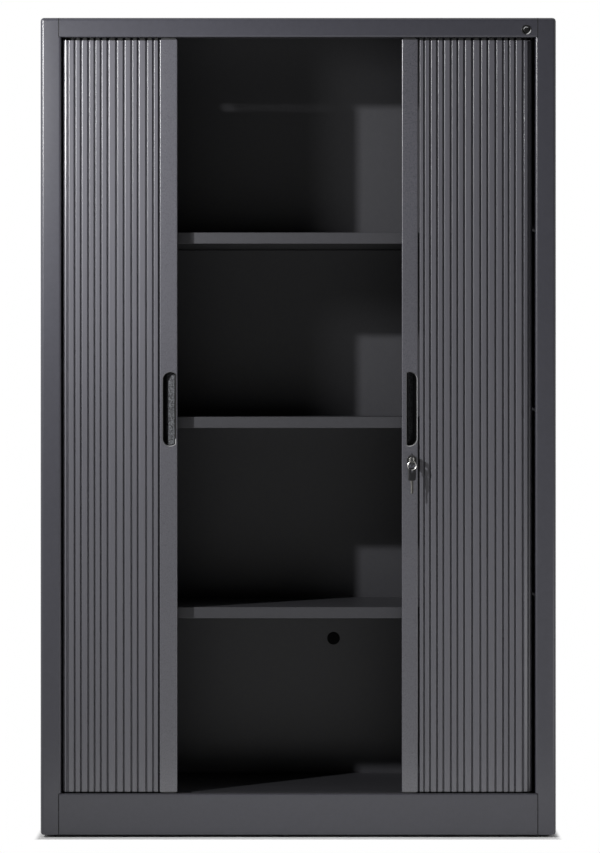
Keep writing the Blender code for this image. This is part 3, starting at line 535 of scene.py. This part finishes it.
def upright(outer, inner, low, high, ease=0.0):
    """Carry a plan section, as its outer and inner line, up from low to high, and close it.

    Near both ends the outer line is drawn towards the inner one over the eased height.
    """
    count = len(outer)
    levels = [(low, END_SHARE), (low + ease, 1.0), (high - ease, 1.0), (high, END_SHARE)]
    if not ease:
        levels = [(low, 1.0), (high, 1.0)]
    rings = []
    for z, share in levels:
        plan = np.vstack([inner + (outer - inner) * share, inner[::-1]])
        rings.append(np.column_stack([plan, np.full(2 * count, z)]))
    around = np.arange(2 * count)
    ahead = (around + 1) % (2 * count)
    sides = [
        np.column_stack([around, ahead, ahead + 2 * count, around + 2 * count]) + k * 2 * count
        for k in range(len(levels) - 1)
    ]
    strip = np.arange(count - 1)
    under = np.column_stack([strip, 2 * count - 1 - strip, 2 * count - 2 - strip, strip + 1])
    roof = under[:, ::-1] + (len(levels) - 1) * 2 * count
    return np.vstack(rings), np.vstack(sides + [under, roof])


def tongues(along, start_x):
    """Thin guides at both ends of a slat, which run in the track grooves."""
    outer = path_point(along, TONGUE_HALF, start_x)
    inner = path_point(along, -TONGUE_HALF, start_x)
    return [
        upright(outer, inner, TONGUE_LOW, CURTAIN_LOW),
        upright(outer, inner, CURTAIN_HIGH, TONGUE_HIGH),
    ]


def curtain_piece(name, shells, side):
    """Join closed shells into one piece; the left door's pieces are mirrored."""
    points = np.vstack([shell[0] for shell in shells])
    starts = np.cumsum([0] + [len(shell[0]) for shell in shells[:-1]])
    faces = np.vstack([shell[1] + start for shell, start in zip(shells, starts)])
    if side == "left":
        points = points * (-1, 1, 1)
        faces = faces[:, ::-1]
    mesh = bpy.data.meshes.new(name)
    mesh.from_pydata(points, [], faces.tolist())
    mesh.materials.append(slat_finish)
    mesh.shade_smooth()
    mesh.set_sharp_from_angle(angle=math.radians(50))
    made = bpy.data.objects.new(name, mesh)
    bpy.context.scene.collection.objects.link(made)
    return made


def unsmooth(weight):
    """The share t of a blend at which 3 t^2 - 2 t^3 is the given weight."""
    return 0.5 - math.sin(math.asin(1 - 2 * weight) / 3)


WEB_STEPS = np.linspace(0, 1, 33)
FIN_RISE = 0.8 * MM
WEB_INSET = 0.05 * MM
SLAT_LIFT = 0.02 * MM
PILE_GAP = 1.1 * MM
TRAVEL_SPARE = 0.3 * MM
TONGUE_SPAN = np.array([0.2, 0.8])
joints = {joint["name"]: joint for joint in frame["joints"]}
for side, sign, fins in (("left", -1, 2), ("right", 1, 1)):
    post_low, post_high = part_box(side + "_post")
    start_x = max(abs(post_low.x), abs(post_high.x))
    front = TANGENT_X - start_x
    edges = np.cumsum(SLAT_WIDTHS[side]) * MM
    moving = len(edges) - 1
    open_travel = -joints[side + "_door_slide"]["range_m"][0]
    weights = np.clip((front - edges - PILE_GAP) / (open_travel + TRAVEL_SPARE), 0, 1)
    weights[moving] = 0
    shares = [unsmooth(weight) for weight in weights]
    for k in range(moving):
        ends = np.array([[start_x + edges[k], PATH_Y], [start_x + edges[k + 1], PATH_Y]])
        outer, inner = slat_lines(ends[:1], ends[1:], k * SLAT_LIFT)
        guide = edges[k] + (edges[k + 1] - edges[k]) * TONGUE_SPAN
        guide = np.minimum(guide, front)
        slat = curtain_piece(
            "%s_slat_%02d" % (side, k + 1),
            [upright(outer, inner, CURTAIN_LOW, CURTAIN_HIGH, END_EASE)] + tongues(guide, start_x),
            side,
        )
        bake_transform(slat)
        edge = edges[k + 1] - GROOVE_WIDTH / 2
        along = start_x + edge + GROOVE_WIDTH * WEB_STEPS
        fin = np.clip(1.5 * np.sin(fins * math.pi * WEB_STEPS) ** 2, 0, 1)
        skin = GROOVE_OUT - WEB_INSET + FIN_RISE * fin
        if k == moving - 1:
            skin += CORNER_FILL[side]
        web = curtain_piece("%s_web_%02d" % (side, k + 1), [upright(
            np.column_stack([along, PATH_Y - skin]),
            np.column_stack([along, np.full(len(along), PATH_Y + CURTAIN_BACK - WEB_INSET)]),
            CURTAIN_LOW + END_EASE, CURTAIN_HIGH - END_EASE,
        )], side)
        span = sign * GROOVE_WIDTH / (shares[k + 1] - shares[k])
        zero = sign * (start_x + edge) - shares[k] * span
        zero + span
        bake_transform(web)
    turned = np.array(CORNER_HINGES[side]) * MM + (PATH_X, PATH_Y)
    behind_y = np.arange(turned[-1, 1] + SLAT_PITCH, CURTAIN_END, SLAT_PITCH)
    corners = np.vstack([
        (start_x + edges[-1], PATH_Y), turned,
        np.column_stack([np.full(len(behind_y), PATH_X), behind_y]),
    ])
    outer, inner = slat_lines(corners[:-1], corners[1:])
    run_end = front + CORNER_RADIUS * (math.pi / 2 - 1) + behind_y[-1] - PATH_Y
    guide = np.linspace(front + CORNER_RADIUS * math.pi / 2, run_end, 2)
    around_corner = curtain_piece(
        side + "_curtain_run",
        [upright(outer, inner, CURTAIN_LOW, CURTAIN_HIGH, END_EASE)] + tongues(guide, start_x),
        side,
    )
    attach(around_corner, "carcass")
    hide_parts(side + "_curtain")

# Lock: a black ringed cylinder in the right post with a nickel plug and a hook cam behind it.
# The key stands in it, and a second key hangs from the wire ring; their bows are black plastic.
nickel = plated("nickel_steel", (0.7, 0.69, 0.66), 0.24)
key_steel = plated("key_steel", (0.2, 0.195, 0.18), 0.3)
dress("lock_housing", black, 0.12 * MM)
dress("lock_plug", nickel, 0.1 * MM)
dress("key_ring", nickel)
for prefix in ("key", "spare"):
    dress(prefix + "_bow", black, 0.4 * MM)
    dress(prefix + "_blade", key_steel, 0.12 * MM)

# Levelling feet: round black glides on studs under the corners of the side panels.
for node in frame["nodes"]:
    if node.startswith("foot_"):
        dress(node, black, 0.2 * MM)

# Studio floor: a plain pale disc. For the camera it runs out to white a short way from the
# cabinet's footprint, and keeps the shadow beside it.
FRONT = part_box("right_side_panel")[0].y
FLOOR_RADIUS = 30.0
WHITE_FROM = 0.012
FLOOR_MIDDLE = 2.0
FLOOR_SIDES = 96
spokes = np.arange(FLOOR_SIDES) * 2 * math.pi / FLOOR_SIDES
circle = np.column_stack([np.cos(spokes), np.sin(spokes), np.zeros(FLOOR_SIDES)])
corner = np.arange(FLOOR_SIDES)
beside = (corner + 1) % FLOOR_SIDES
skirt = np.column_stack([corner, corner + FLOOR_SIDES, beside + FLOOR_SIDES, beside])
floor_mesh = bpy.data.meshes.new("floor")
floor_mesh.from_pydata(
    np.vstack([circle * FLOOR_MIDDLE, circle * FLOOR_RADIUS]), [],
    skirt.tolist() + [corner.tolist()],
)
floor = bpy.data.objects.new("floor", floor_mesh)
bpy.context.scene.collection.objects.link(floor)
pale, pale_shader, place = finish("pale_floor", (0.86, 0.86, 0.86), 0.7, 0.0, 0.2)
off_x = place.math("ABSOLUTE", place.axis("X")) - cad_box[1].x
off_y = place.math("ABSOLUTE", place.axis("Y")) - cad_box[1].y
away = place.math("MAXIMUM", off_x, off_y).between(0, WHITE_FROM)
camera_ray = place.node("ShaderNodeLightPath", output="Is Camera Ray")
glossy_ray = place.node("ShaderNodeLightPath", output="Is Glossy Ray")
white = place.node("ShaderNodeEmission", None, {"Color": (1, 1, 1, 1), "Strength": 1.0})
mixed = place.node("ShaderNodeMixShader", None, {
    0: away * (camera_ray + glossy_ray),
    1: Wire(place.tree, pale_shader.outputs[0]),
    2: white,
})
place.tree.links.new(mixed.socket, place.tree.nodes["Material Output"].inputs["Surface"])
floor_mesh.materials.append(pale)

# Studio light: a white surround that is dim on the camera's side, a small key lamp on the left
# above, a nearer one on the upper left, a wide low lamp on the right and a strip near the floor.
FRONT_LEVEL = 0.024
SIDE_LEVEL = 0.43
world = bpy.data.worlds.new("studio")
bpy.context.scene.world = world
world.use_nodes = True
sky = Wire(world.node_tree)
direction = sky.node("ShaderNodeTexCoord", output="Generated")
behind = direction.axis("Y").between(-0.7, -0.2)
seen = sky.node("ShaderNodeLightPath", output="Is Camera Ray")
seen = seen + sky.node("ShaderNodeLightPath", output="Is Transmission Ray")
seen = seen + sky.node("ShaderNodeLightPath", output="Is Glossy Ray") * behind
seen = sky.math("MINIMUM", seen, 1.0)
level = behind * (SIDE_LEVEL - FRONT_LEVEL) + FRONT_LEVEL
background = world.node_tree.nodes["Background"]
background.inputs["Color"].default_value = (1, 1, 1, 1)
world.node_tree.links.new((seen + (1 - seen) * level).socket, background.inputs["Strength"])
for name, stand, target, power, cone, size in (
    ("key_lamp", (-1.78, FRONT - 2.0, 2.0), (0.1, FRONT, 1.05), 450, 62, 0.04),
    ("upper_lamp", (-1.0, FRONT - 1.11, 1.53), (-0.5, FRONT, 1.35), 54, 54, 0.15),
    ("low_lamp", (1.25, FRONT - 1.0, 0.25), (0.2, FRONT, 0.25), 2.4, None, (0.9, 0.5)),
    ("floor_strip", (0, FRONT - 0.5, 0.03), (0, FRONT, 0.06), 0.3, None, (1.3, 0.05)),
):
    lamp = bpy.data.lights.new(name, "SPOT" if cone else "AREA")
    lamp.energy = power
    if cone:
        lamp.shadow_soft_size = size
        lamp.spot_size = math.radians(cone)
        lamp.spot_blend = 1.0
    else:
        lamp.shape = "RECTANGLE"
        lamp.size, lamp.size_y = size
    made = bpy.data.objects.new(name, lamp)
    made.location = stand
    made.rotation_euler = (Vector(target) - Vector(stand)).to_track_quat("-Z", "Y").to_euler()
    bpy.context.scene.collection.objects.link(made)

# Camera: a long lens square to the front, at about the height of the pulls.
CAMERA_X = 0.0034
CAMERA_BACK = 8.4
CAMERA_HEIGHT = 0.86
camera_data = bpy.data.cameras.new("camera")
camera_data.lens = 182.8
camera_data.sensor_width = 36
camera_data.shift_y = -0.0381
camera = bpy.data.objects.new("camera", camera_data)
camera.location = (CAMERA_X, FRONT - CAMERA_BACK, CAMERA_HEIGHT)
camera.rotation_euler = (math.pi / 2, 0, 0)
bpy.context.scene.collection.objects.link(camera)
bpy.context.scene.camera = camera
bpy.context.scene.view_settings.view_transform = "Standard"
